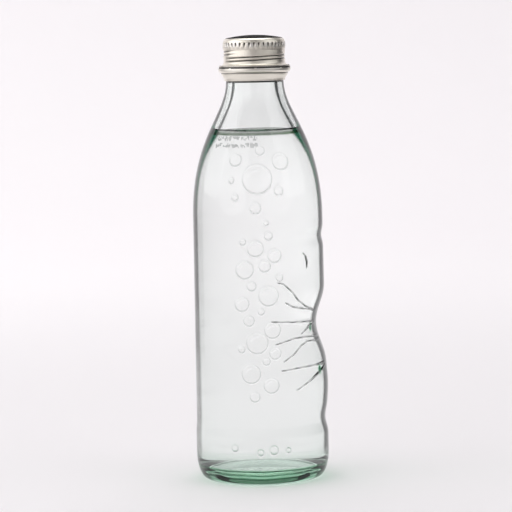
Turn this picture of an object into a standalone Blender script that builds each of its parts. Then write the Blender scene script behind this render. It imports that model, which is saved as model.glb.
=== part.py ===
"""Soda bottle: a blown glass bottle, its drink, and a roll-on aluminium cap with a tamper ring.

Metres, +Z up. The origin is on the bottle's axis, in the plane that the bottle stands on.
The front faces -Y, and the grip is pressed into the +X side.
"""

import math

import bmesh
import bpy
from mathutils import Vector
from mathutils.geometry import interpolate_bezier

# Gap between any two pieces that seat or turn on each other
FIT_GAP = 0.0003
# Points of a turned shape that are closer than this are one point
WELD = 0.000001

# Glass body, from the stand plane up
BODY_RADIUS = 0.0297
BODY_WALL = 0.0026
BODY_FLARE = 0.0004
BODY_HEIGHT = 0.0945
STAND_RADIUS = 0.0245
STAND_WIDTH = 0.0020
PUSH_UP = 0.0032
BASE_THICKNESS = 0.0048
HEEL_RADIUS = 0.0306
HEEL_RISE = 0.0120
HEEL_BAND = 0.0075
HEEL_GROOVE = 0.0060
HEEL_GROOVE_DEPTH = 0.0003
FLOOR_RADIUS = 0.0195
FLOOR_RISE = 0.0100
SHOULDER_HEIGHT = 0.0622
# How far a curve leaves its first and last point, as a share of its width and height
HEEL_HANDLE_SHARES = (0.50, 0.62)
SHOULDER_HANDLE_SHARES = (0.60, 0.24)

# Glass finish, from the neck up to the lip
NECK_RADIUS = 0.0132
BORE_RADIUS = 0.0096
FINISH_HEIGHT = 0.0181
BEAD_RADIUS = 0.0159
BEAD_STEM_RADIUS = 0.01475
BEAD_CONE_HEIGHT = 0.0037
BEAD_FLANK_HEIGHT = 0.0009
BEAD_FACE_HEIGHT = 0.0011
BEAD_TOP_HEIGHT = 0.0029
THREAD_CREST_RADIUS = 0.01345
THREAD_DEPTH = 0.00095
LIP_ROUND = 0.0009
MOUTH_ROUND = 0.0005

# Grip pressed into the +X side
GRIP_DEPTH = 0.0041
GRIP_ANGLE = math.radians(82)
# Middle height, half height and depth of each pressed form, as shares of the straight wall
# and of the grip's depth: notch under the shoulder, palm hollow, swell, groove over the heel
PRESSED_SHARES = (
    (0.910, 0.055, 0.19),
    (0.484, 0.190, 1.00),
    (0.190, 0.150, -0.17),
    (0.020, 0.080, 0.22),
)
# Ribs that fan out from the palm hollow
RIB_HEIGHT = 0.0006
RIB_PITCH = 0.0078
RIB_COUNT = 6
RIB_MIDDLE_SHARE = 0.43
RIB_FAN_SHARE = 0.6

# Drink
FILL_SHARE = 0.643

# Closure, rolled from one sheet
SHEET = 0.00025
LINER_THICKNESS = 0.0007
LINER_INSET = 0.0009
DOME_RISE = 0.00135
PANEL_INSET = 0.0014
PANEL_DROP = 0.0021
# Points of the rounded corner under the panel, as shares of its inset and drop
CORNER_SHARES = ((0.76, 0.65), (0.38, 0.92))
KNURL_SWELL = 0.0004
KNURL_DEPTH = 0.0004
KNURL_HEIGHT = 0.0027
KNURL_EASE = 0.0004
KNURL_COUNT = 40
FLARE_HEIGHT = 0.0020
SLIT_HEIGHT = 0.0006
RING_OVERLAP = 0.0004
RING_TUCK = 0.0034
BRIDGE_COUNT = 8
BRIDGE_HEIGHT = 0.0003

# Fineness of the turned shapes
GLASS_COLUMNS = 40
RING_COLUMNS = 48
ROW_SPACING = 0.0052
RIB_ROW_SPACING = 0.0021
SHOULDER_STEPS = 11
HEEL_STEPS = 4
ROUND_STEPS = 2
SMOOTH_ANGLE = math.radians(40)

# Places that follow from the sizes above
BODY_BOTTOM = HEEL_RISE + HEEL_BAND + HEEL_GROOVE
BODY_TOP = BODY_BOTTOM + BODY_HEIGHT
NECK_START = BODY_TOP + SHOULDER_HEIGHT
LIP_TOP = NECK_START + FINISH_HEIGHT
CAVITY_RADIUS = BODY_RADIUS - BODY_WALL
BEAD_FACE_TOP = NECK_START + BEAD_CONE_HEIGHT + BEAD_FLANK_HEIGHT + BEAD_FACE_HEIGHT
RING_TOP = BEAD_FACE_TOP + RING_OVERLAP
HEM = RING_TOP + SLIT_HEIGHT
CAP_RADIUS = THREAD_CREST_RADIUS + FIT_GAP + SHEET
BAND_RADIUS = BEAD_RADIUS + FIT_GAP + SHEET
LINER_BOTTOM = LIP_TOP + FIT_GAP
PANEL_EDGE = LINER_BOTTOM + LINER_THICKNESS + FIT_GAP + SHEET
RIB_MIDDLE = BODY_BOTTOM + RIB_MIDDLE_SHARE * BODY_HEIGHT
RIB_REACH = RIB_COUNT * RIB_PITCH / 2


def clear_scene():
    for thing in list(bpy.data.objects):
        bpy.data.objects.remove(thing, do_unlink=True)


def curve(start, end, first_share, last_share, steps, upright_first=False):
    """Points of a quarter-turn curve in (radius, height), without its first point."""
    (start_radius, start_height), (end_radius, end_height) = start, end
    width, height = end_radius - start_radius, end_height - start_height
    if upright_first:
        first = (start_radius, start_height + first_share * height)
    else:
        first = (start_radius + first_share * width, start_height)
    last = (end_radius, end_height - last_share * height)
    knots = [Vector(point) for point in (start, first, last, end)]
    return [tuple(point) for point in interpolate_bezier(*knots, steps + 1)][1:]


def dome(middle_height, edge_radius, edge_height, steps):
    """Points of a shallow dome from the axis out to its edge."""
    points = []
    for step in range(steps + 1):
        share = step / steps
        points.append((share * edge_radius, middle_height + (edge_height - middle_height) * share**2))
    return points


def rows(bottom, top, spacing):
    """Evenly spaced heights from bottom to top, both included."""
    count = max(1, math.ceil((top - bottom) / spacing))
    return [bottom + (top - bottom) * row / count for row in range(count + 1)]


def corner(middle, radius, start_angle, end_angle, steps):
    """Points of an arc in (radius, height), both ends included."""
    points = []
    for step in range(steps + 1):
        angle = start_angle + (end_angle - start_angle) * step / steps
        points.append((middle[0] + radius * math.cos(angle), middle[1] + radius * math.sin(angle)))
    return points


def offset(outline, distance):
    """The outline moved sideways by distance, outwards where it climbs."""
    normals = []
    for (radius, height), (next_radius, next_height) in zip(outline, outline[1:]):
        normals.append(Vector((next_height - height, radius - next_radius)).normalized())
    moved = []
    for place, (radius, height) in enumerate(outline):
        before = normals[max(place - 1, 0)]
        after = normals[min(place, len(normals) - 1)]
        middle = (before + after).normalized()
        reach = distance / middle.dot(after)
        on_axis = radius == 0
        moved.append((0 if on_axis else radius + reach * middle.x, height + reach * middle.y))
    return moved


def cut_above(outline, height):
    """The part of a climbing outline under a height, ending on it."""
    kept = []
    for (radius, low), (next_radius, high) in zip(outline, outline[1:]):
        kept.append((radius, low))
        if high >= height:
            share = (height - low) / (high - low)
            kept.append((radius + share * (next_radius - radius), height))
            return kept
    return kept


def bump(distance, reach):
    """1 in the middle, falling smoothly to 0 at the reach."""
    return (1 + math.cos(math.pi * min(abs(distance) / reach, 1))) / 2


def pressed_in(angle, height, ribbed):
    """How far the +X side is pressed in at an angle from +X and a height."""
    climbed = (height - BODY_BOTTOM) / BODY_HEIGHT
    around = bump(angle, GRIP_ANGLE)
    depth = 0
    for middle, reach, deep in PRESSED_SHARES:
        depth += GRIP_DEPTH * deep * bump(climbed - middle, reach) * around
    if ribbed:
        swung = min(abs(angle) / GRIP_ANGLE, 1)
        fanned = (height - RIB_MIDDLE) / (1 + RIB_FAN_SHARE * swung**2)
        beside = math.sin(math.pi * swung) ** 2
        wave = math.cos(math.tau * fanned / RIB_PITCH)
        depth -= RIB_HEIGHT * wave * beside * bump(fanned, RIB_REACH)
    return depth


def press_grip(mesh, rib_radius):
    """Presses the grip into a turned wall; points beyond rib_radius get the ribs too."""
    for point in mesh.verts:
        radius = math.hypot(point.co.x, point.co.y)
        if radius < FLOOR_RADIUS:
            continue
        angle = math.atan2(point.co.y, point.co.x)
        share = 1 - pressed_in(angle, point.co.z, radius > rib_radius) / radius
        point.co.x *= share
        point.co.y *= share


def turned(outline, columns):
    """A mesh turned about Z from (radius, height) points."""
    mesh = bmesh.new()
    points = [mesh.verts.new((radius, 0, height)) for radius, height in outline]
    edges = [mesh.edges.new(pair) for pair in zip(points, points[1:])]
    bmesh.ops.spin(
        mesh,
        geom=points + edges,
        cent=(0, 0, 0),
        axis=(0, 0, 1),
        angle=math.tau,
        steps=columns,
        use_merge=True,
    )
    bmesh.ops.remove_doubles(mesh, verts=mesh.verts, dist=WELD)
    bmesh.ops.recalc_face_normals(mesh, faces=mesh.faces)
    return mesh


def finish(name, colour, roughness, metallic=0.0, transmission=0.0, ior=1.5):
    """A material with a Principled BSDF."""
    material = bpy.data.materials.new(name)
    material.use_nodes = True
    shader = material.node_tree.nodes["Principled BSDF"]
    shader.inputs["Base Color"].default_value = (*colour, 1.0)
    shader.inputs["Roughness"].default_value = roughness
    shader.inputs["Metallic"].default_value = metallic
    shader.inputs["Transmission Weight"].default_value = transmission
    shader.inputs["IOR"].default_value = ior
    return material


def piece(name, mesh, material, seat=0.0, parent=None):
    """A named object whose origin is on the axis, at the height of its seat."""
    for point in mesh.verts:
        point.co.z -= seat
    data = bpy.data.meshes.new(name)
    mesh.to_mesh(data)
    mesh.free()
    data.shade_smooth()
    data.set_sharp_from_angle(angle=SMOOTH_ANGLE)
    data.materials.append(material)
    made = bpy.data.objects.new(name, data)
    bpy.context.collection.objects.link(made)
    made.parent = parent
    made.location.z = seat - (parent.location.z if parent else 0)
    return made


def rolled(shell):
    """Gives a turned sheet its thickness, inwards."""
    wall = shell.modifiers.new("sheet", "SOLIDIFY")
    wall.thickness = SHEET
    wall.offset = -1
    wall.use_even_offset = True
    return shell


def outer_wall():
    """Outer outline of the glass, from the axis under the base up to the lip."""
    stand_inner = STAND_RADIUS - STAND_WIDTH / 2
    stand_outer = STAND_RADIUS + STAND_WIDTH / 2
    outline = dome(PUSH_UP, stand_inner, 0, ROUND_STEPS)
    outline.append((stand_outer, 0))
    outline += curve((stand_outer, 0), (HEEL_RADIUS, HEEL_RISE), *HEEL_HANDLE_SHARES, HEEL_STEPS)
    band_top = HEEL_RISE + HEEL_BAND
    outline.append((HEEL_RADIUS, band_top))
    outline.append((BODY_RADIUS + BODY_FLARE - HEEL_GROOVE_DEPTH, band_top + HEEL_GROOVE / 2))
    rib_bottom = max(RIB_MIDDLE - RIB_REACH, BODY_BOTTOM + ROW_SPACING)
    rib_top = min(RIB_MIDDLE + RIB_REACH, BODY_TOP - ROW_SPACING)
    heights = rows(BODY_BOTTOM, rib_bottom, ROW_SPACING)[:-1]
    heights += rows(rib_bottom, rib_top, RIB_ROW_SPACING)
    heights += rows(rib_top, BODY_TOP, ROW_SPACING)[1:]
    # The straight wall is a little wider at its foot than under the shoulder
    flares = [BODY_FLARE * (BODY_TOP - height) / BODY_HEIGHT for height in heights]
    outline += [(BODY_RADIUS + flare, height) for flare, height in zip(flares, heights)]
    outline += curve(
        (BODY_RADIUS, BODY_TOP),
        (NECK_RADIUS, NECK_START),
        *SHOULDER_HANDLE_SHARES,
        SHOULDER_STEPS,
        upright_first=True,
    )
    return outline


def bead_wall():
    """Locking bead, from the neck up to the top edge of its face."""
    cone_top = NECK_START + BEAD_CONE_HEIGHT
    return [
        (NECK_RADIUS, NECK_START),
        (BEAD_STEM_RADIUS, cone_top),
        (BEAD_RADIUS, cone_top + BEAD_FLANK_HEIGHT),
        (BEAD_RADIUS, BEAD_FACE_TOP),
    ]


def lip():
    """The finish above the bead, round the lip and into the bore."""
    root_radius = THREAD_CREST_RADIUS - THREAD_DEPTH
    outer = (root_radius - LIP_ROUND, LIP_TOP - LIP_ROUND)
    inner = (BORE_RADIUS + MOUTH_ROUND, LIP_TOP - MOUTH_ROUND)
    outline = [(root_radius, BEAD_FACE_TOP + BEAD_TOP_HEIGHT)]
    outline += corner(outer, LIP_ROUND, 0, math.pi / 2, ROUND_STEPS)
    outline += corner(inner, MOUTH_ROUND, math.pi / 2, math.pi, ROUND_STEPS)
    return outline


def cavity():
    """Inner wall of the glass, from the axis on the floor up to the bore."""
    floor = PUSH_UP + BASE_THICKNESS
    outline = dome(floor, FLOOR_RADIUS, BASE_THICKNESS, ROUND_STEPS)
    heel_top = (CAVITY_RADIUS, BASE_THICKNESS + FLOOR_RISE)
    outline += curve(outline[-1], heel_top, *HEEL_HANDLE_SHARES, HEEL_STEPS)
    heights = rows(heel_top[1], BODY_TOP, ROW_SPACING)[1:]
    outline += [(CAVITY_RADIUS, height) for height in heights]
    outline += curve(
        (CAVITY_RADIUS, BODY_TOP),
        (BORE_RADIUS, NECK_START),
        *SHOULDER_HANDLE_SHARES,
        SHOULDER_STEPS - 2,
        upright_first=True,
    )
    return outline


def glass_bottle():
    outline = outer_wall() + bead_wall()[1:] + lip() + cavity()[::-1]
    mesh = turned(outline, GLASS_COLUMNS)
    press_grip(mesh, (BODY_RADIUS + CAVITY_RADIUS) / 2)
    glass = finish("flint_glass", (0.80, 0.88, 0.83), 0.03, transmission=1.0, ior=1.52)
    return piece("glass_bottle", mesh, glass)


def soda_fill(bottle):
    fill_level = BODY_TOP + FILL_SHARE * SHOULDER_HEIGHT
    outline = cut_above(offset(cavity(), -FIT_GAP), fill_level)
    outline.append((0, fill_level))
    mesh = turned(outline, GLASS_COLUMNS)
    press_grip(mesh, BODY_RADIUS)
    drink = finish("clear_soda", (0.94, 0.97, 0.95), 0.0, transmission=1.0, ior=1.33)
    return piece("soda_fill", mesh, drink, parent=bottle)


def cap_wall():
    """Outer outline of the cap, from its hem up to the middle of its panel."""
    panel_radius = CAP_RADIUS - PANEL_INSET
    bead_radius = CAP_RADIUS + KNURL_SWELL
    bead_top = PANEL_EDGE - PANEL_DROP - KNURL_EASE
    bead_bottom = bead_top - KNURL_HEIGHT + KNURL_EASE
    flare_top = HEM + SHEET + FLARE_HEIGHT
    flare = curve(
        (BAND_RADIUS, HEM + SHEET), (CAP_RADIUS, flare_top), *HEEL_HANDLE_SHARES, ROUND_STEPS + 1
    )
    outline = [(BAND_RADIUS, HEM), (BAND_RADIUS, HEM + SHEET), *flare]
    outline += [
        (CAP_RADIUS, bead_bottom - KNURL_EASE),
        (bead_radius, bead_bottom),
        (bead_radius, bead_top),
        (CAP_RADIUS, bead_top + KNURL_EASE),
    ]
    middle = (panel_radius, PANEL_EDGE - PANEL_DROP)
    for radius_share, height_share in CORNER_SHARES:
        outline.append((middle[0] + radius_share * PANEL_INSET, middle[1] + height_share * PANEL_DROP))
    outline += dome(PANEL_EDGE + DOME_RISE, panel_radius, PANEL_EDGE, ROUND_STEPS)[::-1]
    return outline


def cap_shell(closure):
    mesh = turned(cap_wall(), 2 * KNURL_COUNT)
    for point in mesh.verts:
        radius = math.hypot(point.co.x, point.co.y)
        column = round(math.atan2(point.co.y, point.co.x) * KNURL_COUNT / math.pi)
        on_bead = radius > CAP_RADIUS + KNURL_SWELL / 2 and point.co.z > HEM + SHEET + FLARE_HEIGHT
        if on_bead and column % 2:
            point.co.x *= 1 - KNURL_DEPTH / radius
            point.co.y *= 1 - KNURL_DEPTH / radius
    aluminium = finish("rolled_aluminium", (0.80, 0.76, 0.67), 0.28, metallic=1.0)
    return rolled(piece("cap_shell", mesh, aluminium, LINER_BOTTOM, closure))


def cap_liner(closure):
    radius = THREAD_CREST_RADIUS - LINER_INSET
    top = LINER_BOTTOM + LINER_THICKNESS
    mesh = turned([(0, LINER_BOTTOM), (radius, LINER_BOTTOM), (radius, top), (0, top)], RING_COLUMNS)
    foam = finish("liner_foam", (0.82, 0.82, 0.79), 0.6)
    return piece("cap_liner", mesh, foam, LINER_BOTTOM, closure)


def ring_wall():
    """Outer outline of the tamper ring, from its tucked hem up to its torn edge."""
    stem = bead_wall()
    climb = stem[1][1] - stem[0][1]
    share = 1 - RING_TUCK / climb
    hem = (stem[0][0] + share * (stem[1][0] - stem[0][0]), stem[0][1] + share * climb)
    return offset([hem, *stem[1:-1], (BEAD_RADIUS, RING_TOP)], FIT_GAP + SHEET)


def raise_bridges(mesh):
    """Small tabs on the ring's top edge, left where its bridges to the cap tear."""
    per_bridge = RING_COLUMNS // BRIDGE_COUNT
    rim, tabs = [], []
    for edge in mesh.edges:
        middle = (edge.verts[0].co + edge.verts[1].co) / 2
        column = math.floor(math.atan2(middle.y, middle.x) * RING_COLUMNS / math.tau)
        if edge.is_boundary and middle.z > RING_TOP - WELD and column % per_bridge == 0:
            rim.append(edge)
    bmesh.ops.subdivide_edges(mesh, edges=rim, cuts=2)
    for edge in mesh.edges:
        top = min(point.co.z for point in edge.verts) > RING_TOP - WELD
        if edge.is_boundary and top and all(len(point.link_edges) == 2 for point in edge.verts):
            tabs.append(edge)
    raised = bmesh.ops.extrude_edge_only(mesh, edges=tabs)["geom"]
    for point in raised:
        if isinstance(point, bmesh.types.BMVert):
            point.co.z += BRIDGE_HEIGHT


def tamper_ring(bottle):
    mesh = turned(ring_wall(), RING_COLUMNS)
    raise_bridges(mesh)
    aluminium = finish("ring_aluminium", (0.80, 0.76, 0.67), 0.30, metallic=1.0)
    return rolled(piece("tamper_ring", mesh, aluminium, BEAD_FACE_TOP, bottle))


def main():
    clear_scene()
    bottle = glass_bottle()
    soda_fill(bottle)
    tamper_ring(bottle)
    closure = bpy.data.objects.new("closure", None)
    bpy.context.collection.objects.link(closure)
    closure.location.z = LIP_TOP
    cap_shell(closure)
    cap_liner(closure)


main()
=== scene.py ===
"""Soda bottle, dressed: flint glass, clear drink and a roll-on aluminium closure in a pale studio.

Metres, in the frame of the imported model: +Z up, the front towards -Y, the pressed grip on +X.
"""

import math
import random

import bmesh
import bpy
import numpy as np
from mathutils import Matrix, Vector


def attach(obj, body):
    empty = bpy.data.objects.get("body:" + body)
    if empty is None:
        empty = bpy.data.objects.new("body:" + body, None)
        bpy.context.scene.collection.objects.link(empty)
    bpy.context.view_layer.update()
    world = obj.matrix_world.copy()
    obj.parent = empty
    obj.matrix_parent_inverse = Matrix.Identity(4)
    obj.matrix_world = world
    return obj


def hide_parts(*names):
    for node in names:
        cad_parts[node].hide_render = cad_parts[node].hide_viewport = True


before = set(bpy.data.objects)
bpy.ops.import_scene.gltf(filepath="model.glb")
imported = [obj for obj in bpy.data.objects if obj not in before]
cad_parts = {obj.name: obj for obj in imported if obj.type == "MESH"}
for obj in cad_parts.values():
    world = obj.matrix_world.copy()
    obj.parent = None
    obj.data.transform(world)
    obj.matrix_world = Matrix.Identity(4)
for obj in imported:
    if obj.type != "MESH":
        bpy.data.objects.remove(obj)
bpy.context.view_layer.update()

# Studio
# A long lens level with the cap looks down a little at the bottle. The pale floor runs up into a
# lit paper wall behind it. Black cloth hangs on either side of that wall, and draws the glass's
# edges. Further round, the walls are pale on the left and fade to dark on the right. The paper
# behind and the pale walls round it also glow, as painted light, more to the left.
EYE = Vector((-0.0012, -1.158, 0.205))
AIM = Vector((-0.0012, 0.0, 0.1020))
LENS_MM = 178.0
ROLL = math.radians(1.28)
ROOM_RADIUS, ROOM_HEIGHT, ROOM_SIDES = 1.75, 1.9, 96
SWEEP_ROUND, SWEEP_STEPS = 0.45, 14
PAPER = (0.88, 0.855, 0.87, 1.0)
CLOTH = (0.03, 0.03, 0.032, 1.0)
AIR = (0.05, 0.05, 0.052, 1.0)
POOL_EDGES = (0.55, 0.28)
WEDGE_EDGES = (math.radians(54), math.radians(47))
FLANK_EDGES = (math.radians(63), math.radians(69))
FLANK_TONE, FLANK_LEAN = 0.4, 0.25
GLOW_HEIGHTS = (1.50, 1.20)
GLOW_DISTANCES = (0.25, 1.05)
PAPER_GLOW = 0.12
GLOW_LEAN = 0.7

bpy.ops.object.select_all(action="DESELECT")
bpy.ops.object.camera_add(location=EYE)
camera = bpy.context.object
camera.name = "studio_camera"
camera.data.lens = LENS_MM
look = (AIM - EYE).to_track_quat("-Z", "Y").to_matrix().to_4x4()
camera.matrix_world = Matrix.Translation(EYE) @ look @ Matrix.Rotation(-ROLL, 4, "Z")
bpy.context.scene.camera = camera
bpy.context.scene.view_settings.view_transform = "Standard"

bpy.ops.object.select_all(action="DESELECT")
bpy.ops.mesh.primitive_circle_add(vertices=ROOM_SIDES, radius=ROOM_RADIUS, fill_type="NGON")
room = bpy.context.object
room.name = "studio_room"
bpy.ops.object.mode_set(mode="EDIT")
bpy.ops.mesh.select_mode(type="EDGE")
bpy.ops.mesh.select_all(action="SELECT")
bpy.ops.mesh.extrude_edges_move(TRANSFORM_OT_translate={"value": (0, 0, ROOM_HEIGHT)})
bpy.ops.object.mode_set(mode="OBJECT")
sweep = room.modifiers.new("sweep", "BEVEL")
sweep.width = SWEEP_ROUND
sweep.segments = SWEEP_STEPS
sweep.limit_method = "ANGLE"
sweep.angle_limit = math.radians(40)
bpy.ops.object.modifier_apply(modifier="sweep")
bpy.ops.object.mode_set(mode="EDIT")
bpy.ops.mesh.select_all(action="SELECT")
bpy.ops.mesh.normals_make_consistent(inside=True)
bpy.ops.object.mode_set(mode="OBJECT")
bpy.ops.object.shade_smooth()


def feed(tree, socket, value):
    """Gives a socket a number or a colour, or links another socket to it."""
    if isinstance(value, bpy.types.NodeSocket):
        tree.links.new(value, socket)
    else:
        socket.default_value = value


def maths(tree, operation, *values, clamped=False):
    """A Math node on sockets or numbers."""
    node = tree.nodes.new("ShaderNodeMath")
    node.operation = operation
    node.use_clamp = clamped
    for socket, value in zip(node.inputs, values):
        feed(tree, socket, value)
    return node.outputs["Value"]


def eased(tree, value, start, end):
    """A smooth climb from 0 where value is start to 1 where it is end."""
    node = tree.nodes.new("ShaderNodeMapRange")
    node.interpolation_type = "SMOOTHSTEP"
    for name, given in (("Value", value), ("From Min", start), ("From Max", end)):
        feed(tree, node.inputs[name], given)
    return node.outputs["Result"]


def blend(tree, share, first, second):
    """A mix of two colours, from the first at share 0 to the second at 1."""
    node = tree.nodes.new("ShaderNodeMix")
    node.data_type = "RGBA"
    for name, given in (("Factor", share), ("A", first), ("B", second)):
        feed(tree, node.inputs[name], given)
    return node.outputs["Result"]


def new_finish(name, roughness=0.5):
    """A new material, its node tree and its surface shader."""
    finish = bpy.data.materials.new(name)
    finish.use_nodes = True
    shader = finish.node_tree.nodes["Principled BSDF"]
    shader.inputs["Roughness"].default_value = roughness
    return finish, finish.node_tree, shader


paper, tree, shader = new_finish("studio_paper_and_cloth", 0.95)
shader.inputs["Specular IOR Level"].default_value = 0.1
places = tree.nodes.new("ShaderNodeTexCoord")
split = tree.nodes.new("ShaderNodeSeparateXYZ")
tree.links.new(places.outputs["Object"], split.inputs["Vector"])
east, north, up = split.outputs
squares = [maths(tree, "POWER", distance, 2) for distance in (east, north)]
away = maths(tree, "SQRT", maths(tree, "ADD", *squares))
swing = maths(tree, "ABSOLUTE", maths(tree, "ARCTAN2", east, north))
behind = maths(tree, "MULTIPLY", eased(tree, swing, *WEDGE_EDGES), eased(tree, up, *GLOW_HEIGHTS))
leftward = maths(tree, "SUBTRACT", FLANK_TONE, maths(tree, "MULTIPLY", east, FLANK_LEAN), clamped=True)
flanks = maths(tree, "MULTIPLY", eased(tree, swing, *FLANK_EDGES), leftward)
lit = maths(tree, "MAXIMUM", behind, flanks)
pale = maths(tree, "MAXIMUM", lit, eased(tree, away, *POOL_EDGES))
tree.links.new(blend(tree, pale, CLOTH, PAPER), shader.inputs["Base Color"])
# The lit walls also glow, as painted light, more to the left and not close to the bottle
glow = maths(tree, "MULTIPLY", lit, eased(tree, away, *GLOW_DISTANCES))
leaned = maths(tree, "SUBTRACT", 1, maths(tree, "MULTIPLY", east, GLOW_LEAN))
glow = maths(tree, "MULTIPLY", glow, maths(tree, "MULTIPLY", leaned, PAPER_GLOW, clamped=True))
shader.inputs["Emission Color"].default_value = PAPER
tree.links.new(glow, shader.inputs["Emission Strength"])
room.data.materials.append(paper)

# Soft boxes: name, place, width and height, watts, aim
SOFT_BOXES = (
    ("left_side", (-1.30, 0.10, 0.86), (1.3, 1.4), 5.2, (0.0, 0.0, 0.15)),
    ("left_front", (-1.00, -0.95, 0.60), (1.4, 1.3), 4.4, (0.0, 0.0, 0.15)),
    ("right_front", (0.80, -1.10, 0.60), (1.4, 1.3), 2.4, (0.0, 0.0, 0.15)),
    ("right_side", (1.25, -0.35, 0.80), (1.3, 1.2), 3.8, (0.0, 0.0, 0.15)),
    ("overhead", (0.0, 0.45, 1.80), (1.8, 2.2), 25.5, (0.0, 0.45, 0.0)),
)
for name, place, (width, height), watts, target in SOFT_BOXES:
    bpy.ops.object.light_add(type="AREA", location=place)
    lamp = bpy.context.object
    lamp.name = name
    lamp.data.shape = "RECTANGLE"
    lamp.data.size = width
    lamp.data.size_y = height
    lamp.data.energy = watts
    lamp.rotation_euler = (Vector(target) - Vector(place)).to_track_quat("-Z", "Y").to_euler()

air = bpy.data.worlds.new("studio_air")
bpy.context.scene.world = air
air.use_nodes = True
air.node_tree.nodes["Background"].inputs["Color"].default_value = AIR

# Glass bottle
# Blown flint glass with a faint green cast: one turned wall from the push-up of the base to the
# lip and back down inside. The mould presses the grip into its +X side and raises the bubbles.
BODY_RADIUS, BODY_WALL = 0.0297, 0.0026
CAVITY_RADIUS = BODY_RADIUS - BODY_WALL
BODY_BOTTOM, BODY_TOP, BODY_FLARE = 0.0255, 0.1200, 0.0004
NECK_RADIUS, NECK_START = 0.0132, 0.1822
BORE_RADIUS, LIP_TOP = 0.0096, 0.2003
STAND_INNER, STAND_OUTER, PUSH_UP = 0.0235, 0.0255, 0.0032
HEEL_RADIUS, HEEL_RISE, HEEL_TOP, WAIST = 0.0305, 0.0120, 0.0200, 0.0282
FLOOR_RADIUS, FLOOR_EDGE, FLOOR_MIDDLE, FLOOR_HEEL = 0.0195, 0.0048, 0.0080, 0.0148
HEEL_HANDLES, WAIST_HANDLES, SHOULDER_HANDLES = (0.50, 0.62), (0.45, 0.45), (0.60, 0.24)
BEAD_RADIUS, BEAD_STEM_RADIUS = 0.0159, 0.01475
BEAD_STEM_TOP, BEAD_FACE_BOTTOM, BEAD_FACE_TOP = 0.1859, 0.1868, 0.1879
ROOT_RADIUS, ROOT_BOTTOM = 0.0125, 0.1908
LIP_ROUND, MOUTH_ROUND = 0.0009, 0.0005
THREAD_PITCH, THREAD_TURNS, THREAD_BOTTOM = 0.003175, 1.75, 0.1920
THREAD_HEIGHT, THREAD_HALF_WIDTH, THREAD_SPREAD = 0.00095, 0.0011, 1.35
THREAD_RUN_OUT = 1 / 14
GLASS_COLUMNS, GLASS_ROW, INNER_ROW, FINE_ROW, THREAD_ROW = 160, 0.0014, 0.0028, 0.0004, 0.00025
BASE_STEPS, HEEL_STEPS, WAIST_STEPS, SHOULDER_STEPS, LIP_STEPS, MOUTH_STEPS = 12, 36, 8, 50, 6, 5
FLOOR_STEPS, INNER_HEEL_STEPS, INNER_SHOULDER_STEPS = 8, 10, 34


def bezier(start, end, shares, steps, upright_first):
    """Points of a quarter-turn curve in (radius, height), without its first point."""
    width, height = end[0] - start[0], end[1] - start[1]
    if upright_first:
        first = (start[0], start[1] + shares[0] * height)
    else:
        first = (start[0] + shares[0] * width, start[1])
    knots = np.array((start, first, (end[0], end[1] - shares[1] * height), end))
    points = []
    for step in range(1, steps + 1):
        share = step / steps
        rest = 1 - share
        weights = (rest**3, 3 * share * rest**2, 3 * share**2 * rest, share**3)
        points.append(tuple(np.dot(weights, knots)))
    return points


def straight(start, end, spacing):
    """Evenly spaced points from start to end, without the first."""
    count = max(1, math.ceil(math.dist(start, end) / spacing))
    start, end = np.array(start), np.array(end)
    return [tuple(start + (end - start) * step / count) for step in range(1, count + 1)]


def arc(middle, radius, first_angle, last_angle, steps):
    """Points of an arc in (radius, height), without its first point."""
    points = []
    for step in range(1, steps + 1):
        angle = first_angle + (last_angle - first_angle) * step / steps
        points.append((middle[0] + radius * math.cos(angle), middle[1] + radius * math.sin(angle)))
    return points


def domed(middle_height, edge_radius, edge_height, steps):
    """Points of a shallow dome from the axis out to its edge."""
    rise = edge_height - middle_height
    shares = [step / steps for step in range(steps + 1)]
    return [(share * edge_radius, middle_height + rise * share**2) for share in shares]


def turn(name, outline, columns):
    """A piece turned about Z: a point is extruded along the outline, then spun."""
    bpy.ops.object.select_all(action="DESELECT")
    first_radius, first_height = outline[0]
    bpy.ops.mesh.primitive_plane_add(size=0.001, location=(first_radius, 0, first_height))
    made = bpy.context.object
    made.name = made.data.name = name
    bpy.ops.object.transform_apply(location=True, rotation=True, scale=True)
    bpy.ops.object.mode_set(mode="EDIT")
    bpy.ops.mesh.select_mode(type="VERT")
    bpy.ops.mesh.select_all(action="SELECT")
    bpy.ops.mesh.merge(type="CENTER")
    for (radius, height), (next_radius, next_height) in zip(outline, outline[1:]):
        step = (next_radius - radius, 0, next_height - height)
        bpy.ops.mesh.extrude_region_move(TRANSFORM_OT_translate={"value": step})
    bpy.ops.mesh.select_all(action="SELECT")
    bpy.ops.mesh.spin(steps=columns, angle=math.tau, center=(0, 0, 0), axis=(0, 0, 1))
    bpy.ops.mesh.select_all(action="SELECT")
    bpy.ops.mesh.remove_doubles(threshold=0.000002)
    bpy.ops.mesh.normals_make_consistent(inside=False)
    bpy.ops.object.mode_set(mode="OBJECT")
    bpy.ops.object.shade_smooth()
    return made


def round_axis(points):
    """The points' angles about Z, their distances from it and their heights."""
    x, y, heights = points.T
    return np.arctan2(y, x), np.hypot(x, y), heights


def places_of(piece):
    """The piece's points, and their angles, radii and heights."""
    points = np.empty(len(piece.data.vertices) * 3)
    piece.data.vertices.foreach_get("co", points)
    points = points.reshape(-1, 3)
    return points, *round_axis(points)


def put_at_radii(piece, points, radii):
    """Moves each point straight out or in, to its new radius."""
    old_radii = np.maximum(np.hypot(points[:, 0], points[:, 1]), 1e-9)
    points[:, :2] *= (radii / old_radii)[:, None]
    piece.data.vertices.foreach_set("co", points.ravel())
    piece.data.update()


def bump(distance, reach):
    """1 in the middle, falling smoothly to 0 at the reach."""
    return (1 + np.cos(np.pi * np.minimum(np.abs(distance) / reach, 1))) / 2


def flattened(distance, reach, spread):
    """A bump that is steeper by the spread, with its top cut off flat at 1."""
    return np.minimum(spread * bump(distance, reach), 1)


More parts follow.
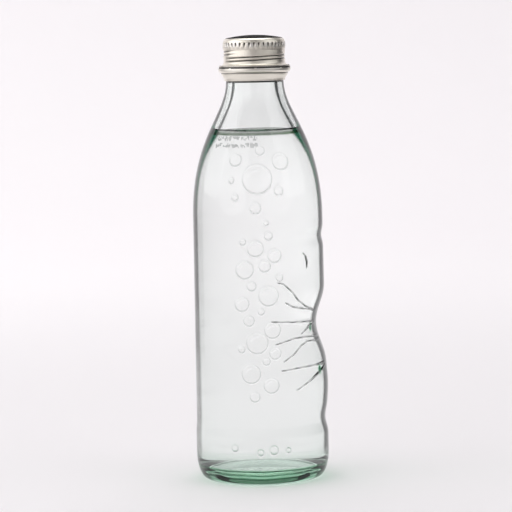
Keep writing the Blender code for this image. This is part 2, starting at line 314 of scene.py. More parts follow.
def ramp(values, start, end):
    """0 up to the start, then straight on to 1 at the end and past it."""
    return np.clip((values - start) / (end - start), 0, 1)


base_dome = domed(PUSH_UP, STAND_INNER, 0, BASE_STEPS)
body_foot = (BODY_RADIUS + BODY_FLARE, WAIST)
outer_wall = straight((STAND_INNER, 0), (STAND_OUTER, 0), GLASS_ROW)
outer_wall += bezier((STAND_OUTER, 0), (HEEL_RADIUS, HEEL_RISE), HEEL_HANDLES, HEEL_STEPS, False)
outer_wall += straight((HEEL_RADIUS, HEEL_RISE), (HEEL_RADIUS, HEEL_TOP), GLASS_ROW)
outer_wall += bezier((HEEL_RADIUS, HEEL_TOP), body_foot, WAIST_HANDLES, WAIST_STEPS, True)
outer_wall += straight(body_foot, (BODY_RADIUS, BODY_TOP), GLASS_ROW)
outer_wall += bezier(outer_wall[-1], (NECK_RADIUS, NECK_START), SHOULDER_HANDLES, SHOULDER_STEPS, True)
outer_radii, outer_heights = np.array(outer_wall).T

bead_corners = (
    (NECK_RADIUS, NECK_START),
    (BEAD_STEM_RADIUS, BEAD_STEM_TOP),
    (BEAD_RADIUS, BEAD_FACE_BOTTOM),
    (BEAD_RADIUS, BEAD_FACE_TOP),
    (ROOT_RADIUS, ROOT_BOTTOM),
)
bead_wall = []
for start, end in zip(bead_corners, bead_corners[1:]):
    bead_wall += straight(start, end, FINE_ROW)
lip_wall = straight((ROOT_RADIUS, ROOT_BOTTOM), (ROOT_RADIUS, LIP_TOP - LIP_ROUND), THREAD_ROW)
lip_wall += arc((ROOT_RADIUS - LIP_ROUND, LIP_TOP - LIP_ROUND), LIP_ROUND, 0, math.pi / 2, LIP_STEPS)
mouth_middle = (BORE_RADIUS + MOUTH_ROUND, LIP_TOP - MOUTH_ROUND)
lip_wall += [(mouth_middle[0], LIP_TOP)]
lip_wall += arc(mouth_middle, MOUTH_ROUND, math.pi / 2, math.pi, MOUTH_STEPS)

# The drink climbs the wall to its rim, so the inner wall has close rows of points there
FILL_LEVEL = 0.1586
MENISCUS_RISE, MENISCUS_REACH = 0.0017, 0.0013
RIM_LEVEL = FILL_LEVEL + MENISCUS_RISE
RIM_ROW, RIM_ROWS, LEAST_ROW = 0.0005, 9, 0.0001
floor_dome = domed(FLOOR_MIDDLE, FLOOR_RADIUS, FLOOR_EDGE, FLOOR_STEPS)
inner_heel = bezier(floor_dome[-1], (CAVITY_RADIUS, FLOOR_HEEL), HEEL_HANDLES, INNER_HEEL_STEPS, False)
cavity_top = (CAVITY_RADIUS, BODY_TOP)
inner_side = straight((CAVITY_RADIUS, FLOOR_HEEL), cavity_top, INNER_ROW)
inner_side += bezier(cavity_top, (BORE_RADIUS, NECK_START), SHOULDER_HANDLES, INNER_SHOULDER_STEPS, True)
side_radii, side_heights = np.array(inner_side).T
rim_radius = float(np.interp(RIM_LEVEL, side_heights, side_radii))
inner_side.append((rim_radius, RIM_LEVEL))
for row in range(1, RIM_ROWS):
    height = RIM_LEVEL - row * RIM_ROW
    if np.abs(side_heights - height).min() > LEAST_ROW:
        inner_side.append((float(np.interp(height, side_heights, side_radii)), height))
inner_wall = floor_dome[-1:] + inner_heel + sorted(inner_side, key=lambda place: place[1])
inner_radii, inner_heights = np.array(inner_wall).T
inside_wall = floor_dome[:-1] + inner_wall

glass_outline = base_dome + outer_wall + bead_wall + lip_wall + inside_wall[::-1]
glass = turn("flint_bottle", glass_outline, GLASS_COLUMNS)

# Each pressed form of the grip: middle height, half height and depth, as shares of the straight
# wall and of the palm hollow's depth
GRIP_DEPTH = 0.0041
GRIP_ANGLE = math.radians(82)
PRESSED_SHARES = (
    (0.910, 0.055, 0.19),
    (0.484, 0.190, 1.00),
    (0.190, 0.150, -0.17),
    (0.020, 0.080, 0.22),
)
# Where creases meet at the grip, a pit in the glass: degrees from +X, height and radius in mm
PITS = ((34, 70.6, 3.0), (28, 51.0, 3.2))
PIT_DEPTH, PIT_SPREAD, PIT_NARROWING = 0.0007, 1.7, 1.5
# Creases of the grip, each a line of (degrees round from +X, height in mm)
CREASES = (
    ((74, 92.2), (69, 91.6), (61, 87.7), (55, 83.8), (46, 80.7), (34, 78.7), (18, 78.0)),
    ((67, 82.9), (60, 80.9), (48, 79.6), (36, 78.9), (22, 77.6)),
    ((80, 74.7), (55, 73.8), (33, 73.4), (16, 73.0)),
    ((50, 68.1), (43, 70.0), (36, 71.6), (20, 72.2)),
    ((77, 64.3), (68, 65.5), (58, 66.7), (44, 66.5), (25, 66.3), (10, 66.0)),
    ((70, 56.3), (61, 59.1), (52, 63.0), (44, 64.6), (26, 64.2), (10, 64.6)),
    ((72, 52.3), (54, 53.2), (31, 53.4), (14, 53.8)),
    ((58, 43.1), (49, 45.4), (40, 47.6), (30, 49.8), (14, 52.6)),
    ((48, 104.8), (45, 103.0), (43.5, 100.6), (44, 97.8)),
)
CREASE_HEIGHT, CREASE_HALF_WIDTH, CREASE_TIP = 0.00062, 0.00085, 0.42
BACK_CREASE_END, BACK_CREASE_FADE = math.radians(56), math.radians(12)
# Raised rings that climb the front like bubbles: (x, height, radius) in mm
BUBBLES = (
    (-3.0, 41.0, 2.2), (4.5, 46.0, 3.4), (-4.5, 51.5, 4.2), (2.5, 57.0, 1.6), (6.5, 60.5, 2.6),
    (-1.5, 65.5, 4.8), (-8.5, 62.5, 1.5), (5.5, 71.0, 3.6), (-5.0, 75.5, 2.4), (0.5, 79.5, 1.4),
    (-8.0, 83.0, 3.2), (4.0, 86.5, 4.4), (-3.5, 91.0, 2.0), (9.0, 94.5, 1.6), (-6.5, 98.5, 4.0),
    (2.5, 100.0, 2.6), (7.0, 104.5, 3.0), (-1.5, 108.0, 3.6), (-7.0, 111.0, 1.4), (4.5, 113.5, 1.8),
    (0.0, 139.0, 6.6), (10.5, 146.5, 3.8), (-9.5, 147.5, 2.8), (9.5, 133.5, 2.0), (-10.0, 131.0, 1.5),
    (1.5, 151.5, 2.0), (-1.0, 126.0, 2.4), (3.5, 119.5, 1.2), (-11.5, 138.5, 1.2), (-12.5, 17.5, 1.5),
    (-1.0, 15.5, 1.3), (5.0, 16.5, 1.9), (11.5, 16.0, 1.1),
)
BUBBLE_HEIGHT, BUBBLE_HALF_WIDTH = 0.00040, 0.00052
# The larger bubbles have a raised arc inside the ring, at its upper left
SHINE_LEAST_SIZE, SHINE_SHARE, SHINE_HEIGHT = 0.0025, 0.62, 0.7 * BUBBLE_HEIGHT
SHINE_FROM, SHINE_TO = math.radians(25), math.radians(95)
# Painted shade lines on creases and rings: half width, spread, ring darkness, its swing round and turn
LINE_HALF_WIDTH, LINE_SPREAD = 0.00040, 2.2
RING_LINE, RING_LINE_SWING, RING_LINE_TURN = 0.36, 0.30, 1.9
RAISED_CUTS, RAISED_MARGIN = 3, 0.0008
# The outer wall is worked on from here up to the neck
WALL_FROM = 0.004


def pressed_in(angles, heights):
    """How far the +X side is pressed in, at angles from +X and at heights."""
    climbed = (heights - BODY_BOTTOM) / (BODY_TOP - BODY_BOTTOM)
    depth = np.zeros_like(heights)
    for middle, reach, deep in PRESSED_SHARES:
        depth += GRIP_DEPTH * deep * bump(climbed - middle, reach)
    return depth * bump(angles, GRIP_ANGLE)


def to_line(across, heights, line):
    """Distances of points of the unrolled wall to a line of points, and where along it, 0 to 1."""
    nearest = np.full_like(heights, np.inf)
    along = np.zeros_like(heights)
    for part, ((start_across, start_height), (end_across, end_height)) in enumerate(zip(line, line[1:])):
        run = np.array((end_across - start_across, end_height - start_height))
        length = max(float(run @ run), 1e-12)
        share = ((across - start_across) * run[0] + (heights - start_height) * run[1]) / length
        share = np.clip(share, 0, 1)
        gap = np.hypot(across - start_across - share * run[0], heights - start_height - share * run[1])
        along = np.where(gap < nearest, (part + share) / (len(line) - 1), along)
        nearest = np.minimum(nearest, gap)
    return nearest, along


def raised(points, reach_more=0.0):
    """At points of the outer wall: the lines' height, the painted shade along lines and in pits, and what is
    near one.
    """
    angles, _, heights = round_axis(points)
    across = np.abs(angles) * BODY_RADIUS
    on_front = angles < 0
    lift, line_shade, pit_shade = np.zeros((3, len(points)))
    near = np.zeros(len(points), bool)
    for line in CREASES:
        unrolled = [(math.radians(degrees) * BODY_RADIUS, high / 1000) for degrees, high in line]
        gap, along = to_line(across, heights, unrolled)
        # A crease swells from a fine point to its middle and thins out again
        swell = CREASE_TIP + (1 - CREASE_TIP) * np.sin(np.pi * np.clip(along, 0, 1)) ** 0.7
        # Round the back the creases stay close to the grip, and the last is on the front alone
        kept = ramp(angles, BACK_CREASE_END, BACK_CREASE_END - BACK_CREASE_FADE)
        if line is CREASES[-1]:
            kept = np.where(on_front, kept, 0)
        lift = np.maximum(lift, kept * CREASE_HEIGHT * swell * bump(gap, CREASE_HALF_WIDTH * swell))
        # Along the crease a dark line is painted as shade, a little uneven along its length
        dark = flattened(gap, LINE_HALF_WIDTH * (0.8 + 0.5 * swell), LINE_SPREAD)
        line_shade = np.maximum(line_shade, kept * dark * (0.85 + 0.15 * np.sin(along * 31)))
        near |= gap < CREASE_HALF_WIDTH + reach_more
    for degrees, high, size in PITS:
        size /= 1000
        sideways = (across - math.radians(degrees) * BODY_RADIUS) * PIT_NARROWING
        gap = np.hypot(sideways, heights - high / 1000)
        lift -= np.where(on_front, PIT_DEPTH * bump(gap, size), 0)
        # In each pit the glass's colour is painted deeper, as shade
        pit_shade = np.maximum(pit_shade, np.where(on_front, flattened(gap, size, PIT_SPREAD), 0))
        near |= (gap < size) & on_front
    for x, high, size in BUBBLES:
        x, high, size = x / 1000, high / 1000, size / 1000
        wall = np.interp(high, outer_heights, outer_radii)
        offset = points - np.array((x, -math.sqrt(wall**2 - x**2), high))
        gap = np.linalg.norm(offset, axis=1)
        on_ring = np.abs(gap - size)
        lift = np.maximum(lift, BUBBLE_HEIGHT * bump(on_ring, BUBBLE_HALF_WIDTH))
        swung = np.arctan2(offset[:, 2], -offset[:, 0])
        # Round the ring a dark line is painted as shade, darker on one side
        dark = RING_LINE + RING_LINE_SWING * np.cos(swung + RING_LINE_TURN)
        line_shade = np.maximum(line_shade, dark * bump(on_ring, LINE_HALF_WIDTH))
        near |= on_ring < BUBBLE_HALF_WIDTH + reach_more
        if size > SHINE_LEAST_SIZE:
            past = np.maximum(np.maximum(SHINE_FROM - swung, swung - SHINE_TO), 0) * gap
            shine = np.hypot(gap - SHINE_SHARE * size, past)
            lift = np.maximum(lift, SHINE_HEIGHT * bump(shine, BUBBLE_HALF_WIDTH))
            near |= shine < BUBBLE_HALF_WIDTH + reach_more
    return lift, line_shade, pit_shade, near


def wall_middles(heights):
    """The radius halfway through the wall, at each height."""
    outer = np.interp(heights, outer_heights, outer_radii)
    return (outer + np.interp(heights, inner_heights, inner_radii)) / 2


def on_outer_wall(points):
    """Which points belong to the outer wall, from just over the base up to the neck."""
    _, radii, heights = round_axis(points)
    return (radii > wall_middles(heights)) & (heights < NECK_START) & (heights > WALL_FROM)


def blown_waves(angles, heights):
    """Slow waves that run through the blown inside, which is never quite true."""
    waves = 0.00010 * np.sin(3 * angles + heights * 170) + 0.00007 * np.sin(5 * angles - heights * 260)
    return waves * bump(heights - (FLOOR_HEEL + NECK_START) / 2, 0.09)


def face_middles(piece):
    """The middles of the piece's faces."""
    middles = np.empty(len(piece.data.polygons) * 3)
    piece.data.polygons.foreach_get("center", middles)
    return middles.reshape(-1, 3)


def select_none(kind):
    """Leaves no vertex, edge or face of the active piece selected, and sets which kind is next."""
    bpy.ops.object.mode_set(mode="EDIT")
    bpy.ops.mesh.select_mode(type=kind)
    bpy.ops.mesh.select_all(action="DESELECT")
    bpy.ops.object.mode_set(mode="OBJECT")


def paint(piece, name, shares, domain="POINT"):
    """Writes a share for each point or face of the piece, which its finish reads by the name."""
    layer = piece.data.attributes.new(name, "FLOAT", domain)
    layer.data.foreach_set("value", shares.astype(float))


def painted(tree, name):
    """The shares that were painted on a piece under the name."""
    node = tree.nodes.new("ShaderNodeAttribute")
    node.attribute_name = name
    return node.outputs["Fac"]


middles = face_middles(glass)
*_, near = raised(middles, RAISED_MARGIN)
near &= on_outer_wall(middles)
select_none("FACE")
glass.data.polygons.foreach_set("select", near)
bpy.ops.object.mode_set(mode="EDIT")
bpy.ops.mesh.subdivide(number_cuts=RAISED_CUTS)
bpy.ops.object.mode_set(mode="OBJECT")

points, angles, radii, heights = places_of(glass)
on_wall = on_outer_wall(points)
radii = np.where(on_wall, np.interp(heights, outer_heights, outer_radii), radii)
lift, line_shade, pit_shade, _ = raised(points)
radii += np.where(on_wall, lift, 0)
# Painted shade: dark lines along the creases and round the rings
paint(glass, "painted_line_shade", np.where(on_wall, line_shade, 0))

# Thick glass at the heel and the floor shows its colour, deepened further as painted shade: in
# uneven bands at the heel and in the pits
HEEL_DEEPENS, HEEL_CLEARS = (0.0006, 0.0022), (0.0079, 0.0070)
BAND_RATE, BAND_START = 3490.0, -3.91
FLOOR_SHARE = 0.13
wander = BAND_START + 0.9 * np.sin(3 * angles) + 0.4 * np.sin(11 * angles)
bands = np.clip(0.74 + 0.40 * np.sin(heights * BAND_RATE + wander), 0, 1)
heel = ramp(heights, *HEEL_DEEPENS) * ramp(heights, *HEEL_CLEARS) * bands
outside = radii > np.interp(heights, inner_heights, inner_radii) + 0.0008
on_floor = (heights > FLOOR_EDGE - 0.0002) & (heights < FLOOR_MIDDLE + 0.0002)
on_floor &= radii < FLOOR_RADIUS + 0.001
outer_shares = np.maximum(heel, np.where(on_wall, pit_shade, 0))
# The deep share carries thick glass's colour and, in the heel bands and pits, painted shade
paint(glass, "deep", np.where(outside, outer_shares, FLOOR_SHARE * on_floor))

inside = ~on_wall & (heights > FLOOR_HEEL) & (heights < NECK_START)
radii += np.where(inside, blown_waves(angles, heights), 0)
radii -= np.where(radii > FLOOR_RADIUS, pressed_in(angles, heights), 0)
climbed_turns = (heights - THREAD_BOTTOM) / THREAD_PITCH
on_root = (heights > ROOT_BOTTOM - 0.0001) & (radii > ROOT_RADIUS - 0.0001)
thread = np.zeros_like(radii)
for turn_number in range(3):
    along = (angles % math.tau) / math.tau + turn_number
    ridge = flattened((climbed_turns - along) * THREAD_PITCH, THREAD_HALF_WIDTH, THREAD_SPREAD)
    thread = np.maximum(thread, ridge * ramp(np.minimum(along, THREAD_TURNS - along), 0, THREAD_RUN_OUT))
put_at_radii(glass, points, radii + np.where(on_root, thread * THREAD_HEIGHT, 0))

# The drink wets the faces of the inner wall up to its rim
middle_angles, middle_radii, middle_heights = round_axis(face_middles(glass))
inward = middle_radii < wall_middles(middle_heights) - pressed_in(middle_angles, middle_heights)
wet = inward & (middle_heights > FLOOR_EDGE - 0.0001) & (middle_heights < RIM_LEVEL)
paint(glass, "wetted", wet, "FACE")

# Seen edge on, the glass is painted dark as shade, a little less low down on the left, and not at
# the base or where it lies against the drink
EDGE_FROM, LEFT_EDGE_RISE = (0.0090, 0.0140), (-0.1650, 0.0850)
edge_shares = ramp(heights, *EDGE_FROM)
edge_shares *= np.where(points[:, 0] < 0, ramp(heights, *LEFT_EDGE_RISE), 1)
paint(glass, "painted_edge_shade", np.where(on_wall | (heights > RIM_LEVEL + 0.0003), edge_shares, 0))

# On the shoulder the painted edge shade reaches further in, and greener, down from where the drink ends
GREEN_FROM, GREEN_TO = (0.1220, 0.1580), (0.1635, 0.1605)
paint(glass, "painted_shoulder_shade", np.where(on_wall, ramp(heights, *GREEN_FROM) * ramp(heights, *GREEN_TO), 0))

GLASS_IOR, DRINK_IOR = 1.52, 1.333
CLEAR = (1.0, 1.0, 1.0, 1.0)
LINE_SHADE_COLOUR = (0.0004, 0.0012, 0.0012, 1.0)
DEEPENING_AT, DEEPENING_TINT_AND_SHADE, DEEP_TINT_AND_SHADE = 0.6, (0.24, 0.56, 0.34, 1.0), (0.006, 0.060, 0.020, 1.0)
LOST_ON_WAY_OUT = 0.9
EDGE_SHADE_COLOUR, EDGE_FACINGS = (0.004, 0.006, 0.0055, 1.0), (0.58, 0.67)
SHOULDER_SHADE_COLOUR, SHOULDER_SHARE = (0.003, 0.050, 0.020, 1.0), 0.22
GLASS_TINT, TINT_DENSITY = (0.12, 0.60, 0.36, 1.0), 14.0
LAMP_TINT = (0.79, 0.85, 0.81, 1.0)


def lets_lamps_through(finish, shader, colour):
    """Lets lamp light pass a clear surface, as the light that it bends is not traced."""
    tree = finish.node_tree
    clear = tree.nodes.new("ShaderNodeBsdfTransparent")
    clear.inputs["Color"].default_value = colour
    rays = tree.nodes.new("ShaderNodeLightPath")
    mix = tree.nodes.new("ShaderNodeMixShader")
    tree.links.new(rays.outputs["Is Shadow Ray"], mix.inputs["Fac"])
    tree.links.new(shader.outputs["BSDF"], mix.inputs[1])
    tree.links.new(clear.outputs["BSDF"], mix.inputs[2])
    tree.links.new(mix.outputs["Shader"], tree.nodes["Material Output"].inputs["Surface"])


flint, tree, shader = new_finish("flint_glass", 0.0)
shader.inputs["Transmission Weight"].default_value = 1.0
shader.inputs["IOR"].default_value = GLASS_IOR
# Its body colour: clear, then the deep colour of thick glass and painted shade, which is met on the
# way in and hardly on the way out
side_seen = tree.nodes.new("ShaderNodeNewGeometry")
lost = maths(tree, "MULTIPLY", side_seen.outputs["Backfacing"], LOST_ON_WAY_OUT)
depth = maths(tree, "MULTIPLY", painted(tree, "deep"), maths(tree, "SUBTRACT", 1, lost))
body_colour = tree.nodes.new("ShaderNodeValToRGB")
body_colour.color_ramp.elements[0].color = CLEAR
body_colour.color_ramp.elements.new(DEEPENING_AT).color = DEEPENING_TINT_AND_SHADE
body_colour.color_ramp.elements[2].color = DEEP_TINT_AND_SHADE
tree.links.new(depth, body_colour.inputs["Fac"])
# Its edges, painted dark as shade, which reach further in on the shoulder
facing = tree.nodes.new("ShaderNodeLayerWeight")
shoulder = painted(tree, "painted_shoulder_shade")
widened = maths(tree, "MULTIPLY", maths(tree, "POWER", shoulder, 4), SHOULDER_SHARE)
turned_away = eased(tree, maths(tree, "ADD", facing.outputs["Facing"], widened), *EDGE_FACINGS)
edge_on = maths(tree, "MULTIPLY", turned_away, painted(tree, "painted_edge_shade"))
edge_shade_colour = blend(tree, shoulder, EDGE_SHADE_COLOUR, SHOULDER_SHADE_COLOUR)
edge_shaded = blend(tree, edge_on, body_colour.outputs["Color"], edge_shade_colour)
# Along the creases and rings the glass is painted near black, as shade
tree.links.new(blend(tree, painted(tree, "painted_line_shade"), edge_shaded, LINE_SHADE_COLOUR), shader.inputs["Base Color"])
# It bends light less where the drink wets it
less_bent = maths(tree, "MULTIPLY", painted(tree, "wetted"), GLASS_IOR / DRINK_IOR - GLASS_IOR)
tree.links.new(maths(tree, "ADD", less_bent, GLASS_IOR), shader.inputs["IOR"])
lets_lamps_through(flint, shader, LAMP_TINT)
tint = tree.nodes.new("ShaderNodeVolumeAbsorption")
tint.inputs["Color"].default_value = GLASS_TINT
tint.inputs["Density"].default_value = TINT_DENSITY
tree.links.new(tint.outputs["Volume"], tree.nodes["Material Output"].inputs["Volume"])
glass.data.materials.append(flint)
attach(glass, "bottle")
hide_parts("glass_bottle")

# Drink
# Clear soda that stands still in the bottle, up to a third of the shoulder, with a rim that
# climbs the glass. Its sides bend no light of their own, because the wetted glass does that.
DRINK_GAP = 0.00002
SURFACE_STEPS, SURFACE_SPAN = 24, 0.011
RIM_DEPTH, RIM_FOOT = 0.0013, 0.0004
RIM_STAGES, RIM_SHARES = (0.0003, 0.0013, 0.0023), (0.96, 0.93, 0.68)
RIM_ENDS = 0.10
CURL_REACH, CURL_SHARE = 0.0026, 0.45
RIM_SHADE_COLOUR = (0.012, 0.040, 0.010, 1.0)

drink_wall = [place for place in inside_wall if place[1] < RIM_LEVEL]
drink_outline = [(max(radius - DRINK_GAP, 0), height + DRINK_GAP) for radius, height in drink_wall]
drink_outline.append((rim_radius - DRINK_GAP, RIM_LEVEL))
for step in range(1, SURFACE_STEPS + 1):
    inwards = SURFACE_SPAN * (step / SURFACE_STEPS) ** 2
    rise = MENISCUS_RISE * math.exp(-inwards / MENISCUS_REACH)
    drink_outline.append((rim_radius - DRINK_GAP - inwards, FILL_LEVEL + rise))
drink_outline.append((0.0, FILL_LEVEL))
drink = turn("clear_drink", drink_outline, GLASS_COLUMNS)
points, angles, radii, heights = places_of(drink)
at_side = (heights > FLOOR_HEEL) & (radii > np.interp(heights, inner_heights, inner_radii) - 0.0001)
radii += np.where(at_side, blown_waves(angles, heights), 0)
put_at_radii(drink, points, radii - np.where(radii > FLOOR_RADIUS, pressed_in(angles, heights), 0))

# The rim is painted dark as shade, a little darker at its ends, and fades up the glass and in over the
# surface
points, _, radii, heights = places_of(drink)
above_foot = heights - FILL_LEVEL + RIM_DEPTH
darkness = ramp(above_foot, 0, RIM_FOOT) * np.interp(above_foot, RIM_STAGES, RIM_SHARES)
darkness = np.minimum(darkness * (1 + RIM_ENDS * (points[:, 0] / rim_radius) ** 2), 1)
curl = CURL_SHARE * ramp(radii, rim_radius - CURL_REACH, rim_radius) ** 2
curl = np.where(radii > rim_radius - 0.00005, 1, curl)
paint(drink, "rim", darkness * np.where(heights > FILL_LEVEL - 0.0001, curl, 1))
for name, ior in (("drink_side", 1.0), ("drink_top", DRINK_IOR)):
    liquid, tree, shader = new_finish(name, 0.0)
    # The rim's dark green is painted shade
    tree.links.new(blend(tree, painted(tree, "rim"), CLEAR, RIM_SHADE_COLOUR), shader.inputs["Base Color"])
    shader.inputs["Transmission Weight"].default_value = 1.0
    shader.inputs["IOR"].default_value = ior
    lets_lamps_through(liquid, shader, CLEAR)
    drink.data.materials.append(liquid)
for face in drink.data.polygons:
    outward = face.normal.xy.dot(face.center.xy.normalized())
    face.material_index = int(outward < 0.3 and face.center.z > FILL_LEVEL - 0.0001)
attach(drink, "bottle")
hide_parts("soda_fill")

# Ink dots
# A jet of black ink dots two short rows of tally marks on the finished glass, just under the
# drink's level: plain marks of different heights, set where the line's printer reaches.
DOT_RADIUS, DOT_THICKNESS, DOT_PITCH, DOT_SIDES = 0.00019, 0.00003, 0.00042, 7
DOT_STRAY = 0.00003
MARK_ROWS = (0.1562, 0.1531)
MARK_COUNT, MARK_DOTS, MARKS_IN_GROUP = 38, 5, 8
MARKS_FROM, MARKS_PITCH = math.radians(-139), math.radians(1.35)

chance = random.Random(7)
dot_outline = [(0.0, DOT_THICKNESS), (DOT_RADIUS, DOT_THICKNESS), (DOT_RADIUS, 0.0), (0.0, 0.0)]
dot = turn("ink_dots", dot_outline, DOT_SIDES)
dot_mesh = bmesh.new()
for row_height in MARK_ROWS:
    for mark in range(MARK_COUNT):
        # The last place of each group is left bare
        if mark % MARKS_IN_GROUP == MARKS_IN_GROUP - 1:
            continue
        angle = MARKS_FROM + mark * MARKS_PITCH
        first, last = sorted((chance.randrange(MARK_DOTS), chance.randrange(MARK_DOTS)))
        for place in range(first, last + 1):
            high = row_height + place * DOT_PITCH + chance.uniform(-1, 1) * DOT_STRAY
            low_radius, high_radius = np.interp((high - 0.0005, high + 0.0005), outer_heights, outer_radii)
            tilt = math.atan2(high_radius - low_radius, 0.001)
            radius = (low_radius + high_radius) / 2 - DOT_THICKNESS / 3
            place_matrix = (
                Matrix.Rotation(angle, 4, "Z")
                @ Matrix.Translation((radius, 0, high))
                @ Matrix.Rotation(math.pi / 2 + tilt, 4, "Y")
            )
            before = len(dot_mesh.verts)
            dot_mesh.from_mesh(dot.data)
            dot_mesh.verts.ensure_lookup_table()
            bmesh.ops.transform(dot_mesh, matrix=place_matrix, verts=dot_mesh.verts[before:])
dot_mesh.to_mesh(dot.data)
dot_mesh.free()


def mottle(tree, shader, texture, scale, tones):
    """Mixes two tones by a fine pattern on the piece: each is a (place on the ramp, colour)."""
    where = tree.nodes.new("ShaderNodeTexCoord")
    pattern = tree.nodes.new(texture)
    pattern.inputs["Scale"].default_value = scale
    tree.links.new(where.outputs["Object"], pattern.inputs["Vector"])
    mix = tree.nodes.new("ShaderNodeValToRGB")
    for stop, (place, colour) in zip(mix.color_ramp.elements, tones):
        stop.position = place
        stop.color = colour
    tree.links.new(pattern.outputs[0], mix.inputs["Fac"])
    tree.links.new(mix.outputs["Color"], shader.inputs["Base Color"])
    return pattern.outputs[0]


INK_GRAIN, INK_TONES = 2500.0, ((0.0, (0.012, 0.012, 0.014, 1.0)), (1.0, (0.075, 0.075, 0.08, 1.0)))
ink, tree, shader = new_finish("jet_ink", 0.5)
mottle(tree, shader, "ShaderNodeTexNoise", INK_GRAIN, INK_TONES)
dot.data.materials.append(ink)
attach(dot, "bottle")

# Cap
# Rolled from one aluminium sheet: a crowned panel, a knurled bead for the grip, a thread pressed
# into the glass's own thread, and a hem that flares over the tamper ring.
SHEET = 0.00025
CAP_RADIUS, PANEL_RADIUS = 0.01400, 0.01260
PANEL_EDGE, PANEL_TOP = 0.20185, 0.20320
KNURL_TOP, KNURL_BOTTOM = 0.19975, 0.19705
KNURL_SWELL, KNURL_DEPTH, KNURL_COUNT = 0.00028, 0.00048, 40
HEM, FLARE_TOP, BAND_RADIUS = 0.18895, 0.19115, 0.01645
GROOVE_DEPTH, GROOVE_HALF_WIDTH = 0.00034, 0.00058
GROOVE_FRONT_HEIGHT, GROOVES_APART = 0.19255, 0.00150
GROOVE_FROM, GROOVE_TO, GROOVE_RUN_OUT = 195.0, 600.0, 28.0
UPPER_TURN_FROM, UPPER_TURN_SHARE = 450.0, 0.62
SCORE_DEPTH, SCORES = 0.00004, ((0.1962, 0.0003), (0.1955, 0.0002))
GROOVE_SHADE, KNURL_SHADE = 1.4, 1.3
CORNER_CREST = 0.2007
CAP_COLUMNS, CAP_ROW, HEM_STEPS, CROWN_STEPS = 320, 0.00020, 9, 10

crown = domed(PANEL_TOP, PANEL_RADIUS - 0.0006, PANEL_EDGE + 0.00013, CROWN_STEPS)
panel_corner = [
    (0.01398, 0.20015),
    (0.01388, 0.20057),
    (0.01368, 0.20099),
    (0.01340, 0.20135),
    (0.01308, 0.20162),
    (0.01278, 0.20178),
    (0.01244, 0.20193),
]
cap_outline = [
    (BAND_RADIUS - 0.00012, HEM - 0.00006),
    (BAND_RADIUS, HEM + 0.00003),
    (BAND_RADIUS, HEM + SHEET),
]
cap_outline += bezier(cap_outline[-1], (CAP_RADIUS, FLARE_TOP), HEEL_HANDLES, HEM_STEPS, False)
cap_outline += straight((CAP_RADIUS, FLARE_TOP), (CAP_RADIUS, KNURL_BOTTOM), CAP_ROW)
cap_outline += straight((CAP_RADIUS, KNURL_BOTTOM), (CAP_RADIUS, KNURL_TOP), CAP_ROW)
cap_outline += panel_corner + crown[:-1][::-1]
cap = turn("roll_on_cap", cap_outline, CAP_COLUMNS)

# The bead swells out, and its knurls are drops with their round ends at the top
points, angles, radii, heights = places_of(cap)
skirt = radii > CAP_RADIUS - 0.0004
on_bead = ramp(heights, KNURL_BOTTOM - 0.0006, KNURL_BOTTOM + 0.0010)
on_bead *= ramp(heights, KNURL_TOP + 0.0002, KNURL_TOP - 0.0001)
on_bead = np.where(skirt, bump(1 - on_bead, 1), 0)
valley = np.where(skirt, np.maximum(np.cos(angles * KNURL_COUNT), 0) ** 0.8, 0)
teardrop = ramp(heights, KNURL_BOTTOM - 0.0001, KNURL_BOTTOM + 0.0023) ** 0.8
teardrop *= ramp(heights, KNURL_TOP + 0.00005, KNURL_TOP - 0.00017)
knurled = KNURL_SWELL * on_bead - KNURL_DEPTH * valley * teardrop

# Under them two grooves climb side by side with the thread, and two fine lines are scored
rolled = np.zeros_like(radii)
for extra_turns in range(2):
    degrees = np.degrees(angles) % 360 + 360 * extra_turns
    over_thread = heights - GROOVE_FRONT_HEIGHT - THREAD_PITCH * (degrees - 270) / 360
    pressed = bump(over_thread - GROOVES_APART / 2, GROOVE_HALF_WIDTH)
    pressed += bump(over_thread + GROOVES_APART / 2, GROOVE_HALF_WIDTH)
    fade = ramp(np.minimum(degrees - GROOVE_FROM, GROOVE_TO - degrees), 0, GROOVE_RUN_OUT)
    # The upper turn is rolled in less deep
    fade *= np.where(degrees > UPPER_TURN_FROM, UPPER_TURN_SHARE, 1)
    rolled = np.maximum(rolled, pressed * fade * fade * (3 - 2 * fade))
scored = SCORE_DEPTH * sum(bump(heights - height, reach) for height, reach in SCORES)
over_flare = skirt & (heights > FLARE_TOP - 0.0004)
put_at_radii(cap, points, radii + knurled - np.where(over_flare, rolled * GROOVE_DEPTH + scored, 0))

# The hollows are painted dark as shade, and the crests, the hem and the corner are rubbed bare
notched = ramp(heights, KNURL_BOTTOM + 0.0005, KNURL_BOTTOM + 0.0019)
notched *= ramp(heights, KNURL_TOP + 0.0001, KNURL_TOP - 0.00012)
hollows = GROOVE_SHADE * np.clip(rolled, 0, 1) ** 1.1 + KNURL_SHADE * valley * notched
paint(cap, "hollow_shade", np.clip(hollows, 0, 1))
crests = np.clip(knurled / KNURL_SWELL, 0, 1) ** 3 + bump(heights - HEM, 0.0004)
crests += np.where(skirt, 0, bump(heights - CORNER_CREST, 0.0012))
paint(cap, "rubbed", np.clip(crests, 0, 1))


def give_thickness(piece, thickness):
    """Gives a turned sheet its wall, inwards, with the second material on the inside."""
    wall = piece.modifiers.new("sheet", "SOLIDIFY")
    wall.thickness = thickness
    wall.offset = -1
    wall.use_even_offset = True
    wall.material_offset = 1
    bpy.ops.object.select_all(action="DESELECT")
    bpy.context.view_layer.objects.active = piece
    piece.select_set(True)
    bpy.ops.object.modifier_apply(modifier="sheet")
    bpy.ops.object.shade_smooth_by_angle(angle=math.radians(50))


